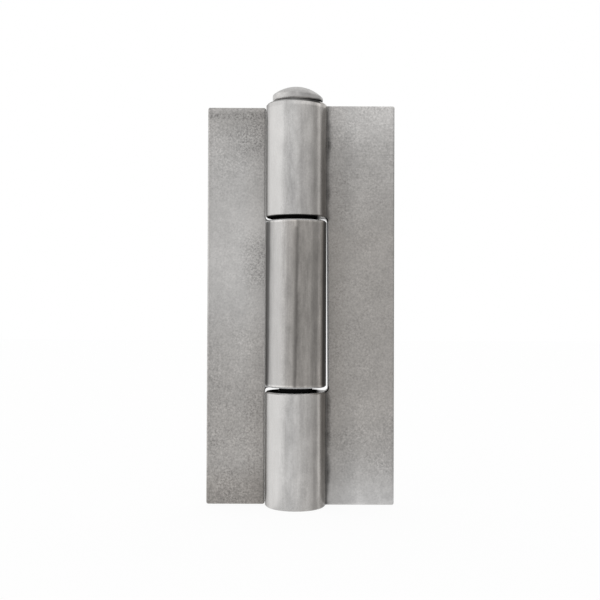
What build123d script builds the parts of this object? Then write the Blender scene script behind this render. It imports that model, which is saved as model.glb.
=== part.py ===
from build123d import *
from math import asin, atan2, degrees, sqrt
import os

# A weld-on butt hinge. Two leaves of bare steel sheet, each with its knuckles rolled from the same sheet,
# turn on one domed-head pin. Sizes are in millimetres. +Z runs up the pin axis and the origin is on that
# axis at the hinge's bottom end. The hinge stands open and flat, with its front towards -Y. The leaf with
# two knuckles reaches towards +X and the leaf with one knuckle towards -X.

# Sheet and pin
sheet_thickness = 4.0
pin_diameter = 10.0
pin_clearance = 0.1  # radial running clearance between the pin and each knuckle's bore

# Leaves, each reach measured from the pin axis to the outer edge
hinge_length = 120.0
right_leaf_reach = 29.55
left_leaf_reach = 26.7
left_leaf_shortfall = 0.75  # the left leaf is this much shorter than the hinge
left_leaf_lift = 0.15  # and its bottom edge lies this much above the right leaf's
leaf_setback = 0.5  # front faces of the leaves behind the pin axis, so that they close without touching
leaf_corner_radius = 0.6

# Knuckles, from the bottom up: the top one takes what is left of the length
bottom_knuckle_length = 34.1
lower_gap = 1.4
middle_knuckle_length = 49.55
upper_gap = 1.0

# Roll and notches
neck_inner_radius = 2.0  # inside radius of the reverse bend between each leaf and its knuckles
seam_gap = 0.3  # between a knuckle's rolled end and the front face of its own leaf
right_notch_clearance = 0.18  # beside the middle knuckle, at its top end
right_notch_lean = 0.36  # the sheared side stands this much further out at its bottom end
right_notch_radius = 1.0
left_notch_clearance = 0.15  # beside the end knuckles
left_notch_radius = 1.6
edge_break = 0.4  # bevel along every sheared edge and rolled end

# Pin head and plain end
head_diameter = 15.1
head_rim_height = 2.0  # on average: the rim is higher on the side that the dome leans to
head_dome_height = 2.95
head_lower_round = 1.2
head_upper_round = 0.4
head_gap = 0.35  # between the top knuckle and the head's underside
head_offset = 0.35  # the head was formed this far off the shank's axis, towards the right leaf
dome_offset = 0.5  # and the top of its dome this far back the other way
pin_end_chamfer = 0.8

# Worked out from the sizes above
half_thickness = sheet_thickness / 2
bore_radius = pin_diameter / 2 + pin_clearance
knuckle_radius = bore_radius + sheet_thickness
roll_radius = bore_radius + half_thickness
leaf_middle = leaf_setback + half_thickness
neck_radius = neck_inner_radius + half_thickness
neck_y = leaf_middle + neck_radius
neck_x = sqrt((roll_radius + neck_radius) ** 2 - neck_y**2)
neck_angle = degrees(atan2(neck_y, neck_x))
seam_angle = degrees(asin((leaf_setback - seam_gap) / knuckle_radius))
middle_knuckle_bottom = bottom_knuckle_length + lower_gap
middle_knuckle_top = middle_knuckle_bottom + middle_knuckle_length
top_knuckle_bottom = middle_knuckle_top + upper_gap
left_leaf_top = left_leaf_lift + hinge_length - left_leaf_shortfall
past = knuckle_radius + 5.0  # how far cutting tools run past what they cut
smooth_angle = 5.0  # faces that meet at less than this many degrees are one smooth surface


def rolled_side(depth, reach):
    """One side of the sheet in section, this far behind its middle: flat, reverse bend, round the pin."""
    flat = Line((reach, leaf_middle + depth), (neck_x, leaf_middle + depth))
    neck = CenterArc((neck_x, neck_y), neck_radius - depth, 270, neck_angle - 90)
    roll = CenterArc((0, 0), roll_radius + depth, neck_angle, 360 - neck_angle + seam_angle)
    return flat, neck, roll


def rolled_strip(reach, bottom, top):
    """A leaf and knuckle of one section over the whole height, before its blank is notched."""
    front = rolled_side(-half_thickness, reach)
    back = rolled_side(half_thickness, reach)
    outer_end = Line(front[0] @ 0, back[0] @ 0)
    rolled_end = Line(front[2] @ 1, back[2] @ 1)
    section = make_face([*front, *back, outer_end, rolled_end])
    return Pos(0, 0, bottom) * extrude(section, top - bottom)


def notch(wall, bottom, top, corner_radius, lean=0.0):
    """A cutting block that frees the pin side of a leaf between two heights, with rounded inner corners."""
    window = Polygon((-past, bottom), (wall + lean, bottom), (wall, top), (-past, top), align=None)
    inner_corners = window.vertices().filter_by_position(Axis.X, 0, wall + lean)
    window = fillet(inner_corners, corner_radius)
    return extrude(Plane.XZ * window, past, both=True)


def is_sharp(edge, faces):
    """Whether the two faces beside an edge meet at an angle, as a cut edge does and a bend does not."""
    middle = edge @ 0.5
    beside = [face for face in faces if any(edge.is_same(side) for side in face.edges())]
    return beside[0].normal_at(middle).get_angle(beside[1].normal_at(middle)) > smooth_angle


def finished_leaf(leaf):
    """Rounds the leaf's two outer corners, then breaks every cut edge."""
    outer_corners = leaf.edges().filter_by(Axis.Y).group_by(Axis.X)[-1]
    leaf = fillet(outer_corners, leaf_corner_radius)
    faces = leaf.faces()
    cut_edges = leaf.edges().filter_by(lambda edge: is_sharp(edge, faces))
    return chamfer(cut_edges, edge_break)


def two_knuckle_leaf():
    """The right leaf: top and bottom knuckles, notched between them for the left leaf's knuckle."""
    leaf = rolled_strip(right_leaf_reach, 0, hinge_length)
    wall = knuckle_radius + right_notch_clearance
    leaf -= notch(wall, bottom_knuckle_length, top_knuckle_bottom, right_notch_radius, right_notch_lean)
    return finished_leaf(leaf)


def one_knuckle_leaf():
    """The left leaf: middle knuckle only, notched above and below it for the right leaf's knuckles."""
    leaf = rolled_strip(left_leaf_reach, left_leaf_lift, left_leaf_top)
    wall = knuckle_radius + left_notch_clearance
    leaf -= notch(wall, left_leaf_lift - past, middle_knuckle_bottom, left_notch_radius)
    leaf -= notch(wall, middle_knuckle_top, left_leaf_top + past, left_notch_radius)
    return mirror(finished_leaf(leaf), about=Plane.YZ)


def pin_head():
    """The low head, standing on its own underside at the origin: a disc with a dome that is off centre."""
    head_radius = head_diameter / 2
    dome_radius = (head_radius**2 + head_dome_height**2) / (2 * head_dome_height)
    head_height = head_rim_height + head_dome_height
    disc = Pos(0, 0, head_height / 2) * Cylinder(head_radius, head_height)
    disc = fillet(disc.edges().group_by(Axis.Z)[0], head_lower_round)
    dome = Pos(-dome_offset, 0, head_height - dome_radius) * Sphere(dome_radius)
    head = disc & dome
    upper_edge = head.edges().sort_by_distance((0, 0, 0))[-1]
    return fillet(upper_edge, head_upper_round)


def hinge_pin():
    """The pin: a plain shank, flush with the hinge's bottom end, under its head."""
    head_height = hinge_length + head_gap
    shank_length = head_height + head_rim_height / 2
    shank = Pos(0, 0, shank_length / 2) * Cylinder(pin_diameter / 2, shank_length)
    plain_end = shank.edges().group_by(Axis.Z)[0]
    shank = chamfer(plain_end, pin_end_chamfer)
    return shank + Pos(head_offset, 0, head_height) * pin_head()


def main():
    os.makedirs("parts", exist_ok=True)
    pieces = {
        "two_knuckle_leaf": two_knuckle_leaf(),
        "one_knuckle_leaf": one_knuckle_leaf(),
        "hinge_pin": hinge_pin(),
    }
    for name, piece in pieces.items():
        export_step(piece, f"parts/{name}.step")


main()
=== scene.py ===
from math import pi, radians

import bpy
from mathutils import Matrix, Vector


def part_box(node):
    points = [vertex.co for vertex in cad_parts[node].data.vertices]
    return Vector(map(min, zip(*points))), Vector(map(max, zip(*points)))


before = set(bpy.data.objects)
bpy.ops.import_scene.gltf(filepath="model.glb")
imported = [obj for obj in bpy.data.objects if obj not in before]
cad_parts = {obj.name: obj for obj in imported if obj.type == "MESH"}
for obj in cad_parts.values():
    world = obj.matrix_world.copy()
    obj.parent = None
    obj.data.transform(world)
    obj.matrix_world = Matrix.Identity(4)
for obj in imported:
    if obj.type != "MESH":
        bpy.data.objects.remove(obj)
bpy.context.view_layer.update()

# Camera: level with the hinge's middle, a little right of the pin, tipped up and rolled very slightly.
MM = 0.001
IMAGE_SIDE = 600
SENSOR = 36.0
CAMERA_PLACE = (1.22 * MM, -265.96 * MM, 58.08 * MM)
FOCAL_PIXELS = 885.9
CAMERA_PITCH = radians(0.72)
CAMERA_ROLL = radians(-0.21)

# Sizes that the materials need, in millimetres, read from the frame where it holds them.
KNUCKLE_RADIUS = -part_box("two_knuckle_leaf")[0].x / MM
HINGE_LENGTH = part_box("two_knuckle_leaf")[1].z / MM
SHEET_THICKNESS = 4.0
BORE_RADIUS = KNUCKLE_RADIUS - SHEET_THICKNESS
BOTTOM_KNUCKLE_HIGH = 34.1
MIDDLE_LOW = 35.5
MIDDLE_HIGH = 85.05
TOP_KNUCKLE_LOW = 86.05

# Tones are linear greys. WARM is how far the warmest steel leans from grey towards red.
WHITE = 1.0
# The first grey below is the near-black of painted shade, and the second the pale grey of matt rims that stand for a
# highlight.
SHADE_BLACK = 0.015
PALE_MATT = 0.47
PIN_TONE = 0.455
PIN_WARMTH = 0.02
WARM = 0.07

# Noises: scale, in bumps a millimetre, number of octaves, and roughness.
CLOUDS = (0.09, 2.0, 0.55)
MOTTLE = (0.45, 3.0, 0.65)
GRAIN = (1.6, 3.0, 0.8)
PATCHES = (0.13, 1.0, 0.55)
PITS = (1.7, 3.0, 0.9)
WANDER = (0.16, 3.0, 0.55)
SCRATCHES = (1.0, 2.0, 0.6)
STREAKS = (1.1, 3.0, 0.6)
FINE_STREAKS = (3.5, 2.0, 0.6)
SMOKE = (1.0, 3.0, 0.6)
PIN_MOTTLE = (0.5, 4.0, 0.6)
PIN_GRAIN = (1.8, 2.0, 0.7)

# Factors on a noise's coordinates, below 1 where it is drawn out and above 1 where it is squeezed. Scratches run
# across the leaf, and streaks and smoke along the pin.
SCRATCH_ALONG, SCRATCH_ACROSS = 0.12, 2.2
STREAK_ALONG = 0.03
SMOKE_ALONG, SMOKE_AROUND = 0.13, 0.45

# How far the noises move the borders on a leaf, in millimetres, and the lines on a knuckle, in degrees.
BORDER_WANDER = 2.6
LINE_WAVER = 4.0

# Where the leaves are pitted and scratched, in height, and how much that darkens them.
PITTED_BESIDE_TOP = (104, 117)
PITTED_BESIDE_MIDDLE = (65, 81)
PITTED_EDGE = (116.0, 117.5)
PIT_DEPTH = 0.38
SCRATCHED = (88, 116)
SCRATCH_DEPTH = 0.12

# How far the grain moves the tone of a leaf where it is finest, and how much further where it is coarser.
GRAIN_TONE = 0.45
COARSE_GRAIN_TONE = 1.3

# Lowest and highest roughness of the flat steel, the rolled steel and the pin, and height of the grain or the
# streaks on each, in millimetres.
FLAT_ROUGHNESS = (0.42, 0.52)
ROLLED_ROUGHNESS = (0.22, 0.28)
PIN_ROUGHNESS = (0.34, 0.42)
GRAIN_HEIGHT = 0.03
STREAK_HEIGHT = 0.012
PIN_GRAIN_HEIGHT = 0.02

# The rolled steel bulges from this angle left of the front, in radians, round to the back. The bulge is twice as
# high as this, in millimetres, where it is highest.
SHOULDER_FROM = 0.66
SHOULDER_RISE = 1.3

# Brightness of the studio's walls against azimuth, in degrees from the front and positive to the right, and of its
# ceiling. The ceiling begins and is full at these heights of a direction one long.
ROOM_LEVELS = [
    (-180, 1.0), (-150, 1.0), (-130, 1.3), (-110, 1.45), (-58, 1.45), (-42, 1.02), (0, 1.0), (14, 0.84), (32, 0.74),
    (60, 0.68), (80, 0.6), (86, 0.62), (90, 0.85), (98, 0.85), (103, 0.62), (120, 0.8), (140, 1.0), (180, 1.0),
]
CEILING_LEVEL = 0.95
CEILING_FROM, CEILING_FULL = 0.5, 0.85

# The floor, in metres: its side, and how far under the hinge it lies. It is pale and matt, and this share of what
# is seen of it is the plain background, so that the rest keeps the hinge's shadow.
FLOOR_SIDE = 3.0
FLOOR_DROP = 0.01 * MM
FLOOR_TONE = 0.9
FLOOR_ROUGHNESS = 0.9
FLOOR_PLAIN = 0.93

# Tone of each leaf against height, and against distance from the pin axis, in millimetres. The tone against distance
# is painted shade, darker beside the knuckles and at the outer edge. The right leaf has more painted shadow beside
# the end knuckles than beside the middle one.
LEFT_DOWN = [
    (0, 0.225), (3, 0.262), (8, 0.335), (15, 0.41), (30, 0.39), (42, 0.425), (52, 0.46), (62, 0.525), (74, 0.55),
    (84, 0.55), (95, 0.495), (103, 0.485), (110, 0.48), (115, 0.43), (119, 0.385),
]
LEFT_SHADE_ACROSS = [(9, 0.80), (10, 0.87), (13, 0.95), (16.5, 1.01), (18, 0.99), (25, 0.97), (26.2, 0.9), (27, 0.8)]
RIGHT_DOWN = [
    (0, 0.69), (3, 0.625), (8, 0.53), (15, 0.46), (24, 0.415), (36, 0.39), (60, 0.37), (80, 0.385), (95, 0.415),
    (102, 0.44), (109, 0.495), (116, 0.58), (120, 0.60),
]
RIGHT_SHADOW_ACROSS = [
    (9, 0.15), (9.8, 0.42), (10.4, 0.70), (11, 0.78), (12, 0.80), (15, 0.85), (19, 1.0), (28.5, 1.0), (29.6, 0.92),
]
RIGHT_SHADE_ACROSS_MIDDLE = [(9, 0.75), (10.5, 0.78), (13, 0.85), (17, 0.95), (19, 1.0), (28.5, 0.98), (29.6, 0.92)]

# Warmth of each leaf against height: 0 is neutral and 1 is the warmest steel. It is a little warmer near the pin.
LEFT_WARMTH = [
    (0, 0.8), (6, 0.78), (12, 0.56), (25, 0.58), (36, 0.50), (50, 0.40), (60, 0.27), (100, 0.27), (108, 0.32),
    (116, 0.42), (120, 0.42),
]
RIGHT_WARMTH = [
    (0, 0.12), (8, 0.28), (17, 0.50), (25, 0.62), (32, 0.68), (80, 0.68), (87, 0.58), (95, 0.50), (105, 0.40),
    (114, 0.30), (120, 0.30),
]
NEAR_WARMTH = 0.12

# How strong the grain is on each leaf against height.
LEFT_GRAIN = [(0, 1.1), (25, 1.0), (45, 0.8), (55, 0.35), (65, 0.15), (90, 0.2), (100, 0.6), (119, 0.9)]
RIGHT_GRAIN = [(0, 0.0), (6, 0.1), (12, 0.75), (40, 0.6), (80, 0.5), (120, 0.7)]

# Rolled knuckles: tone against the angle from the front, in degrees and positive to the right, which is painted
# reflections, highlights and shade, and warmth against that angle, tone against height, and how much smoky stains
# and streaks change it. The painted light and dark lines lean by so many degrees per millimetre of height, and stand
# where the table puts them at one height.
END_KNUCKLES = {
    "around": [
        (-180, 0.42), (-105, 0.42), (-92, 0.24), (-75, 0.24), (-66, 0.35), (-58, 0.44), (-50, 0.45), (-35, 0.465),
        (-24, 0.47), (-18, 0.445), (-5, 0.45), (0, 0.48), (5, 0.495), (9, 0.465), (17, 0.49), (25, 0.49),
        (31, 0.44), (35, 0.385), (40, 0.37), (44, 0.45), (48, 0.53), (52, 0.44), (57, 0.34), (65, 0.34),
        (75, 0.32), (84, 0.15), (92, 0.10), (98, 0.25), (106, 0.42), (180, 0.42),
    ],
    "warmth": [
        (-180, 0.40), (-60, 0.27), (-8, 0.24), (5, 0.34), (12, 0.42), (25, 0.50), (35, 0.62), (60, 0.70), (90, 0.70),
        (120, 0.45), (180, 0.40),
    ],
    "down": [
        (0, 1.03), (5, 1.08), (10, 1.14), (16, 1.06), (22, 1.0), (30, 1.01), (34, 1.1), (84, 0.93), (96, 0.92),
        (104, 1.0), (112, 1.1), (120, 1.03),
    ],
    "smoke": 0.14,
    "streaks": 0.025,
    "lean": -0.02,
    "lean_from": 103.0,
}
MIDDLE_KNUCKLE = {
    "around": [
        (-180, 0.34), (-100, 0.34), (-88, 0.20), (-77, 0.12), (-68, 0.08), (-62, 0.095), (-56, 0.265), (-50, 0.33),
        (-44, 0.375), (-30, 0.39), (-20, 0.395), (-16, 0.325), (-7, 0.31), (-4, 0.26), (-1, 0.17), (2, 0.135),
        (5, 0.24), (8, 0.275), (15, 0.31), (20, 0.335), (28, 0.35), (33, 0.265), (43, 0.245), (49, 0.35),
        (54, 0.53), (58, 0.43), (62, 0.15), (68, 0.06), (80, 0.06), (88, 0.18), (98, 0.34), (180, 0.34),
    ],
    "warmth": [
        (-180, 0.50), (-60, 0.30), (-35, 0.30), (-22, 0.45), (-8, 0.72), (0, 0.84), (90, 0.84), (120, 0.50),
        (180, 0.50),
    ],
    "down": [(35, 1.1), (42, 1.05), (50, 1.0), (74, 1.0), (83, 1.12), (86, 1.12)],
    "smoke": 0.16,
    "streaks": 0.06,
    "lean": 0.09,
    "lean_from": 62.0,
}

# How high the painted shadow line under the pin's head reaches above the hinge, against the distance to the right.
UNDER_HEAD = [(-8, 0.85), (-3, 0.66), (0, 0.54), (4.5, 0.80), (8, 1.15)]


def grey(value, warmth=0.0):
    """A linear colour, neutral or slightly warm."""
    return (value * (1 + warmth), value, value * (1 - warmth), 1.0)


class Nodes:
    """A node tree, built from short calls. Their values are numbers, colours and other nodes' outputs."""

    def __init__(self, tree):
        self.tree = tree

    def add(self, kind, settings=(), **inputs):
        """A new node. Its inputs are named with _ for each space."""
        node = self.tree.nodes.new("ShaderNode" + kind)
        for name, setting in dict(settings).items():
            setattr(node, name, setting)
        for name, value in inputs.items():
            self.put(node.inputs[name.replace("_", " ")], value)
        return node

    def put(self, socket, value):
        if isinstance(value, bpy.types.NodeSocket):
            self.tree.links.new(value, socket)
        else:
            socket.default_value = value

    def math(self, operation, first, second=0.0):
        node = self.add("Math", {"operation": operation})
        self.put(node.inputs[0], first)
        self.put(node.inputs[1], second)
        return node.outputs[0]

    def joined(self, operation, first, rest):
        for value in rest:
            first = self.math(operation, first, value)
        return first

    def product(self, first, *rest):
        return self.joined("MULTIPLY", first, rest)

    def total(self, first, *rest):
        return self.joined("ADD", first, rest)

    def most(self, first, *rest):
        return self.joined("MAXIMUM", first, rest)

    def scaled(self, vector, amount):
        """A vector or colour times a number."""
        return self.add("VectorMath", {"operation": "SCALE"}, Vector=vector, Scale=amount).outputs["Vector"]

    def axes(self, vector):
        return self.add("SeparateXYZ", Vector=vector).outputs

    def combine(self, x, y, z):
        return self.add("CombineXYZ", X=x, Y=y, Z=z).outputs["Vector"]

    def azimuth(self, x, y):
        """Angle round the pin axis, in radians from the front and positive to the right."""
        return self.math("ARCTAN2", x, self.product(y, -1.0))

    def rise(self, value, low, high, start=0.0, end=1.0, curve="SMOOTHSTEP"):
        """From start to end while value goes from low to high."""
        node = self.add("MapRange", {"interpolation_type": curve}, Value=value)
        for name, number in (("From Min", low), ("From Max", high), ("To Min", start), ("To Max", end)):
            node.inputs[name].default_value = number
        return node.outputs[0]

    def within(self, value, low, high, soft):
        """1 between low and high, 0 outside, with soft borders."""
        inside = self.rise(value, low - soft, low + soft)
        return self.product(inside, self.rise(value, high - soft, high + soft, 1.0, 0.0))

    def profile(self, value, points):
        """Straight lines through 2 to 32 points, which are pairs of value and result, lowest value first."""
        low, high = points[0][0], points[-1][0]
        node = self.add("ValToRGB", Fac=self.rise(value, low, high, curve="LINEAR"))
        stops = node.color_ramp.elements
        stops[0].color, stops[1].color = grey(points[0][1]), grey(points[-1][1])
        for at, result in points[1:-1]:
            stops.new((at - low) / (high - low)).color = grey(result)
        return node.outputs["Color"]

    def mix(self, share, first, second):
        """Colour, or number, between first and second."""
        node = self.add("Mix", {"data_type": "RGBA"}, Factor=share)
        self.put(node.inputs[6], first)
        self.put(node.inputs[7], second)
        return node.outputs[2]

    def noise(self, vector, scale, octaves, roughness):
        return self.add("TexNoise", Vector=vector, Scale=scale, Detail=octaves, Roughness=roughness).outputs["Fac"]

    def vary(self, noise, amount, reach=0.25):
        """A factor from 1 less this amount to 1 and this amount, as a noise crosses its middle by this reach."""
        return self.rise(noise, 0.5 - reach, 0.5 + reach, 1 - amount, 1 + amount)

    def sway(self, noise, amount):
        """A distance that goes to both sides of 0 with a noise."""
        return self.product(self.math("SUBTRACT", noise, 0.5), amount)


class Steel(Nodes):
    """The nodes of a new material. Coordinates are the piece's own, in millimetres."""

    def __init__(self, name):
        self.material = bpy.data.materials.new(name)
        self.material.use_nodes = True
        super().__init__(self.material.node_tree)
        self.tree.nodes.clear()
        place = self.add("TexCoord").outputs
        self.point = self.scaled(place["Object"], 1 / MM)
        self.x, self.y, self.z = self.axes(self.point)
        self.facing_x, _, self.facing_z = self.axes(place["Normal"])
        off_axis = self.combine(self.x, self.y, 0.0)
        self.radius = self.add("VectorMath", {"operation": "LENGTH"}, Vector=off_axis).outputs["Value"]
        self.angle = self.azimuth(self.x, self.y)
        self.degrees = self.product(self.angle, 180 / pi)

    def toned(self, warmth, tone):
        """Steel of this tone, from neutral to the warmest."""
        return self.scaled(self.mix(warmth, grey(WHITE), grey(WHITE, WARM)), tone)

    def finish(self, colour, roughness, height, painted_shade, dull=0.0):
        """Metal with that colour, roughness and relief in millimetres.

        Where the mask of painted shade is 1 it is painted shade, near black and not metal, and where dull is 1 it is
        matt and pale, which on the rims is a painted highlight.
        """
        colour = self.mix(painted_shade, self.mix(dull, colour, grey(PALE_MATT)), grey(SHADE_BLACK))
        metallic = self.math("SUBTRACT", 1.0, self.most(painted_shade, dull))
        relief = self.add("Bump", Strength=1.0, Distance=MM, Height=height).outputs["Normal"]
        steel = self.add("BsdfPrincipled", Base_Color=colour, Metallic=metallic, Roughness=roughness, Normal=relief)
        steel.inputs["Specular IOR Level"].default_value = 0.0
        self.add("OutputMaterial", Surface=steel.outputs["BSDF"])
        return self.material


def leaf_tone(s, grain, mottle, down, grain_down):
    """Mottled dull skin: soft clouds, and grain that is coarse in places and fine in others."""
    clouds = s.vary(s.noise(s.point, *CLOUDS), 0.05, reach=0.2)
    patches = s.rise(s.noise(s.point, *PATCHES), 0.35, 0.65, 0.6, 1.3)
    coarse = s.product(s.profile(s.z, grain_down), patches)
    grains = s.sway(grain, s.total(s.product(coarse, COARSE_GRAIN_TONE), GRAIN_TONE))
    return s.product(s.profile(s.z, down), clouds, s.vary(mottle, 0.08), s.total(1.0, grains))


def wandering_distance(s, side):
    """Distance from the pin axis to this side, 1 or -1. A noise moves it, so that no border in it is straight."""
    return s.total(s.product(s.x, side), s.sway(s.noise(s.point, *WANDER), BORDER_WANDER))


def left_skin(s, grain, mottle):
    """Pitted along the top edge and in two places beside the knuckle, with light edges and painted shade beside the
    knuckle.
    """
    away = wandering_distance(s, -1)
    edge = s.rise(s.math("ABSOLUTE", s.x), 9.4, 9.8, 1.15, 1.0)
    upper_patch = s.product(s.within(s.z, *PITTED_BESIDE_TOP, 4), s.rise(away, 14.0, 24.0, 1.0, 0.0))
    lower_patch = s.product(s.within(s.z, *PITTED_BESIDE_MIDDLE, 4), s.rise(away, 12.0, 19.0, 1.0, 0.0))
    top_band = s.within(s.z, *PITTED_EDGE, 0.5)
    pitted = s.math("MINIMUM", s.total(upper_patch, lower_patch, top_band), 1.0)
    pits = s.rise(s.noise(s.point, *PITS), 0.42, 0.54, 1.0, 0.0)
    unpitted = s.math("SUBTRACT", 1.0, s.product(pits, pitted, PIT_DEPTH))
    top_edge = s.rise(s.z, 117.8, 118.6, 1.0, 1.15)
    tone = leaf_tone(s, grain, mottle, LEFT_DOWN, LEFT_GRAIN)
    # The tone across is painted shade beside the knuckle and at the outer edge.
    return s.product(tone, s.profile(away, LEFT_SHADE_ACROSS), edge, unpitted, top_edge)


def right_skin(s, grain, mottle):
    """Painted shadow where the end knuckles shade its front, with fine scratches across its upper part."""
    away = wandering_distance(s, 1)
    beside_middle = s.within(s.z, MIDDLE_LOW - 0.5, MIDDLE_HIGH + 0.55, 0.5)
    behind = s.rise(s.y, 1.0, 3.0)
    # Painted shadow of the knuckles, weaker beside the middle knuckle and on the back.
    across = s.mix(
        s.most(beside_middle, behind), s.profile(away, RIGHT_SHADOW_ACROSS), s.profile(away, RIGHT_SHADE_ACROSS_MIDDLE)
    )
    scratch_place = s.combine(s.product(s.x, SCRATCH_ALONG), 0.0, s.product(s.z, SCRATCH_ACROSS))
    scratches = s.rise(s.noise(scratch_place, *SCRATCHES), 0.45, 0.7)
    scratched = s.product(s.within(s.z, *SCRATCHED, 5), SCRATCH_DEPTH)
    unscratched = s.math("SUBTRACT", 1.03, s.product(scratches, scratched))
    return s.product(leaf_tone(s, grain, mottle, RIGHT_DOWN, RIGHT_GRAIN), across, unscratched)


def flat_steel(s, grain, skin, warmth_down):
    """Colour, roughness and height of the flat, dull part of a leaf."""
    mottle = s.noise(s.point, *MOTTLE)
    near_warmth = s.rise(s.math("ABSOLUTE", s.x), 11.0, 17.0, NEAR_WARMTH, 0.0)
    warmth = s.total(s.profile(s.z, warmth_down), near_warmth)
    roughness = s.rise(mottle, 0.3, 0.7, *FLAT_ROUGHNESS)
    return s.toned(warmth, skin(s, grain, mottle)), roughness, s.product(grain, GRAIN_HEIGHT)


def painted_rim_highlights(s, patches):
    """Factor that paints highlights along the rims of the knuckles, stronger in some places than others."""
    upper = s.within(s.z, MIDDLE_HIGH - 0.8, MIDDLE_HIGH + 0.1, 0.25)
    lower = s.within(s.z, MIDDLE_LOW - 0.1, MIDDLE_LOW + 0.9, 0.25)
    middle = s.product(s.most(upper, lower), s.rise(patches, 0.3, 0.7, 0.15, 0.6))
    top = s.rise(s.z, HINGE_LENGTH - 1.9, HINGE_LENGTH - 1.3)
    return s.total(middle, s.product(top, s.rise(s.x, -6.0, 5.0, -0.1, 0.5)), 1.0)


def rolled_steel(s, grain, knuckle):
    """Colour, roughness and height of the steel rolled round the pin: smoother, streaked along the pin, and with
    painted reflections, highlights and shade round it.
    """
    around = s.product(s.angle, KNUCKLE_RADIUS)
    streak_place = s.combine(around, 0.0, s.product(s.z, STREAK_ALONG))
    smoke_place = s.combine(s.product(around, SMOKE_AROUND), 0.0, s.product(s.z, SMOKE_ALONG))
    streaks = s.noise(streak_place, *STREAKS)
    fine_streaks = s.noise(streak_place, *FINE_STREAKS)
    smoke = s.noise(smoke_place, *SMOKE)

    # The tone round the knuckle is painted reflections, highlights and shade, in lines that waver and lean.
    waver = s.sway(smoke, LINE_WAVER)
    lean = s.product(s.math("SUBTRACT", knuckle["lean_from"], s.z), knuckle["lean"])
    lines = s.profile(s.total(waver, lean, s.degrees), knuckle["around"])
    wear = s.product(
        s.vary(streaks, knuckle["streaks"]),
        s.vary(fine_streaks, knuckle["streaks"], reach=0.3),
        s.vary(smoke, knuckle["smoke"]),
        s.vary(grain, 0.08),
        s.profile(s.z, knuckle["down"]),
    )
    # The streaks and stains fade out over the painted light band on the left.
    wear = s.mix(s.rise(s.degrees, -34.0, -20.0, 0.25, 1.0), grey(WHITE), wear)
    # The dark line down the middle knuckle ends a little below its upper rim.
    line_end = s.product(
        s.within(s.z, MIDDLE_HIGH - 2.4, MIDDLE_HIGH + 0.5, 0.5), s.within(s.degrees, -3.0, 4.0, 2.0), 0.5
    )
    tone = s.product(lines, wear, painted_rim_highlights(s, smoke), s.total(1.0, line_end))
    roughness = s.rise(streaks, 0.3, 0.7, *ROLLED_ROUGHNESS)
    return s.toned(s.profile(s.degrees, knuckle["warmth"]), tone), roughness, s.product(fine_streaks, STREAK_HEIGHT)


def leaf_painted_shade(s, rolled):
    """1 where shade is painted near black on a leaf: in the gaps between the knuckles, in the bore and under the
    pin's head.
    """
    lower_gap = s.within(s.z, BOTTOM_KNUCKLE_HIGH - 0.1, MIDDLE_LOW + 0.1, 0.05)
    upper_gap = s.within(s.z, MIDDLE_HIGH - 0.1, TOP_KNUCKLE_LOW + 0.1, 0.05)
    end_face = s.rise(s.math("ABSOLUTE", s.facing_z), 0.85, 0.95)
    end_faces = s.product(s.most(lower_gap, upper_gap), end_face, rolled)
    hanging_bevel = s.product(
        s.within(s.z, TOP_KNUCKLE_LOW - 0.1, TOP_KNUCKLE_LOW + 0.25, 0.02),
        s.rise(s.facing_z, -0.6, -0.3, 1.0, 0.0),
        rolled,
    )
    gaps = s.product(s.most(end_faces, hanging_bevel), s.rise(s.x, 6.0, 7.6, 1.0, 0.25))
    bore = s.rise(s.radius, BORE_RADIUS + 0.15, BORE_RADIUS + 0.4, 1.0, 0.0)
    # The painted shadow under the pin's head ends on a line that rises slightly to the left, and it leaves the flat
    # end face alone.
    shade_line = s.total(s.z, s.product(s.x, 0.03))
    under_head = s.product(
        s.rise(shade_line, HINGE_LENGTH - 0.7, HINGE_LENGTH - 0.4),
        s.rise(s.x, -6.0, 5.0, 0.35, 0.95),
        s.rise(s.x, 6.6, 7.6, 1.0, 0.0),
        s.rise(s.facing_z, 0.8, 0.95, 1.0, 0.0),
        rolled,
    )
    return s.most(gaps, bore, under_head)


def pale_bevels_and_wall(s, rolled):
    """1 where a leaf is matt and pale: on the middle knuckle's bevels, where it is a painted highlight, and on the
    sheared wall beside that knuckle.
    """
    upper_bevel = s.within(s.z, MIDDLE_HIGH - 0.42, MIDDLE_HIGH - 0.12, 0.05)
    lower_bevel = s.within(s.z, MIDDLE_LOW + 0.02, MIDDLE_LOW + 0.42, 0.02)
    bevels = s.product(s.most(upper_bevel, lower_bevel), rolled, s.rise(s.x, 5.0, 8.0, 1.0, 0.3))
    wall = s.product(
        s.rise(s.facing_x, -0.6, -0.4, 1.0, 0.0),
        s.within(s.x, KNUCKLE_RADIUS + 0.05, KNUCKLE_RADIUS + 1.3, 0.05),
        s.within(s.z, MIDDLE_LOW, MIDDLE_HIGH - 0.05, 0.5),
    )
    return s.most(bevels, wall)


def shoulder(s, rolled):
    """Height of the bulge on the left of the rolled steel."""
    past = s.most(s.math("SUBTRACT", -SHOULDER_FROM, s.angle), 0.0)
    wave = s.math("COSINE", s.product(past, 2 * pi / (pi - SHOULDER_FROM)))
    return s.product(s.math("SUBTRACT", 1.0, wave), SHOULDER_RISE, rolled)


def sheet_steel(name, skin, warmth_down, knuckle):
    """Dull grey sheet on the leaf, which becomes smooth and streaked where it is rolled round the pin."""
    s = Steel(name)
    grain = s.noise(s.point, *GRAIN)
    rolled = s.rise(s.radius, KNUCKLE_RADIUS + 0.1, KNUCKLE_RADIUS + 0.5, 1.0, 0.0)
    flat = flat_steel(s, grain, skin, warmth_down)
    bent = rolled_steel(s, grain, knuckle)
    colour, roughness, height = (s.mix(rolled, on_flat, on_bent) for on_flat, on_bent in zip(flat, bent))
    height = s.total(height, shoulder(s, rolled))
    return s.finish(colour, roughness, height, leaf_painted_shade(s, rolled), pale_bevels_and_wall(s, rolled))


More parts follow.
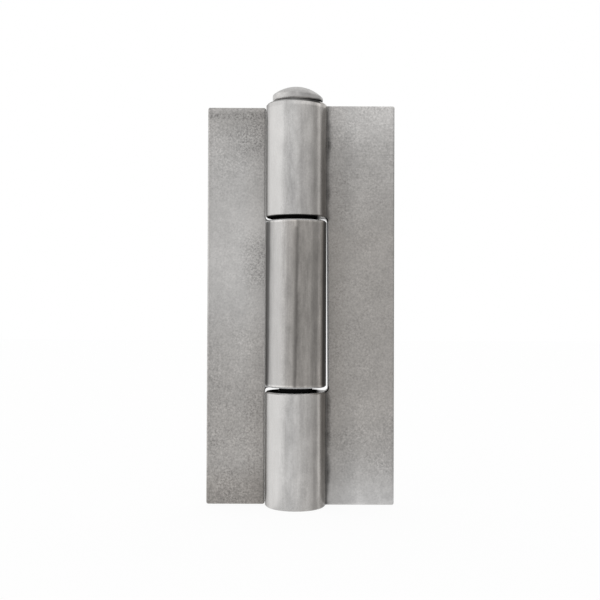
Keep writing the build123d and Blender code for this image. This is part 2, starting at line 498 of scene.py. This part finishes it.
def pin_steel():
    """Mottled steel on the pin's head and its lower end, with painted shade on the shank and a painted shadow line
    under the head.
    """
    s = Steel("pin_steel")
    mottle = s.noise(s.point, *PIN_MOTTLE)
    grain = s.noise(s.point, *PIN_GRAIN)
    colour = s.scaled(grey(PIN_TONE, PIN_WARMTH)[:3], s.rise(mottle, 0.3, 0.7, 0.88, 1.1))
    colour = s.scaled(colour, s.vary(grain, 0.08))
    # The shank, seen only in the gaps, is painted shade, and so is the line under the head, a painted shadow.
    shank = s.within(s.z, 1.0, HINGE_LENGTH, 0.2)
    line_top = s.total(s.profile(s.x, UNDER_HEAD), HINGE_LENGTH)
    under_head = s.rise(s.math("SUBTRACT", s.z, line_top), -0.3, 0.3, 1.0, 0.0)
    above_end = s.rise(s.z, 0.9, 1.1)
    painted_shade = s.most(shank, s.product(under_head, above_end))
    roughness = s.rise(grain, 0.2, 0.8, *PIN_ROUGHNESS)
    return s.finish(colour, roughness, s.product(grain, PIN_GRAIN_HEIGHT), painted_shade)


def add_camera():
    data = bpy.data.cameras.new("camera")
    data.sensor_width = SENSOR
    data.lens = FOCAL_PIXELS / IMAGE_SIDE * SENSOR
    camera = bpy.data.objects.new("camera", data)
    camera.location = CAMERA_PLACE
    camera.rotation_euler = (radians(90) + CAMERA_PITCH, CAMERA_ROLL, 0)
    bpy.context.collection.objects.link(camera)
    bpy.context.scene.camera = camera


def wall_level(nodes, x, y):
    """Brightness of the studio's wall in this direction from the hinge."""
    return nodes.profile(nodes.azimuth(x, y), [(radians(azimuth), level) for azimuth, level in ROOM_LEVELS])


def add_world():
    """The studio: an even ceiling over walls that differ in brightness. Seen straight on it is plain white."""
    world = bpy.data.worlds.new("studio")
    bpy.context.scene.world = world
    world.use_nodes = True
    nodes = Nodes(world.node_tree)
    x, y, up = nodes.axes(nodes.add("TexCoord").outputs["Generated"])
    ceiling = nodes.rise(up, CEILING_FROM, CEILING_FULL, curve="LINEAR")
    room = nodes.mix(ceiling, wall_level(nodes, x, y), grey(CEILING_LEVEL))
    path = nodes.add("LightPath").outputs
    seen = nodes.most(path["Is Camera Ray"], path["Is Transmission Ray"])
    nodes.put(world.node_tree.nodes["Background"].inputs["Color"], nodes.mix(seen, room, grey(WHITE)))


def add_floor():
    """Pale floor. What the camera sees of it is white, and what the steel sees is as bright as the wall beyond."""
    bpy.ops.mesh.primitive_plane_add(size=FLOOR_SIDE, location=(0, 0, -FLOOR_DROP))
    floor = bpy.context.object
    floor.name = "floor"
    material = bpy.data.materials.new("floor")
    material.use_nodes = True
    nodes = Nodes(material.node_tree)
    matt = material.node_tree.nodes["Principled BSDF"]
    matt.inputs["Base Color"].default_value = grey(FLOOR_TONE)
    matt.inputs["Roughness"].default_value = FLOOR_ROUGHNESS
    x, y, _ = nodes.axes(nodes.add("TexCoord").outputs["Object"])
    path = nodes.add("LightPath").outputs
    background = nodes.mix(path["Is Camera Ray"], wall_level(nodes, x, y), grey(WHITE))
    plain = nodes.add("Emission", Color=background)
    seen = nodes.most(path["Is Camera Ray"], path["Is Glossy Ray"], path["Is Transmission Ray"])
    mixed = nodes.add("MixShader", Fac=nodes.product(seen, FLOOR_PLAIN))
    nodes.put(mixed.inputs[1], matt.outputs["BSDF"])
    nodes.put(mixed.inputs[2], plain.outputs["Emission"])
    nodes.put(material.node_tree.nodes["Material Output"].inputs["Surface"], mixed.outputs["Shader"])
    floor.data.materials.append(material)


def dress(node, material):
    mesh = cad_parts[node].data
    mesh.materials.clear()
    mesh.materials.append(material)


add_camera()
add_world()
add_floor()
dress("two_knuckle_leaf", sheet_steel("sheet_steel_right", right_skin, RIGHT_WARMTH, END_KNUCKLES))
dress("one_knuckle_leaf", sheet_steel("sheet_steel_left", left_skin, LEFT_WARMTH, MIDDLE_KNUCKLE))
dress("hinge_pin", pin_steel())

bpy.context.scene.view_settings.view_transform = "Standard"
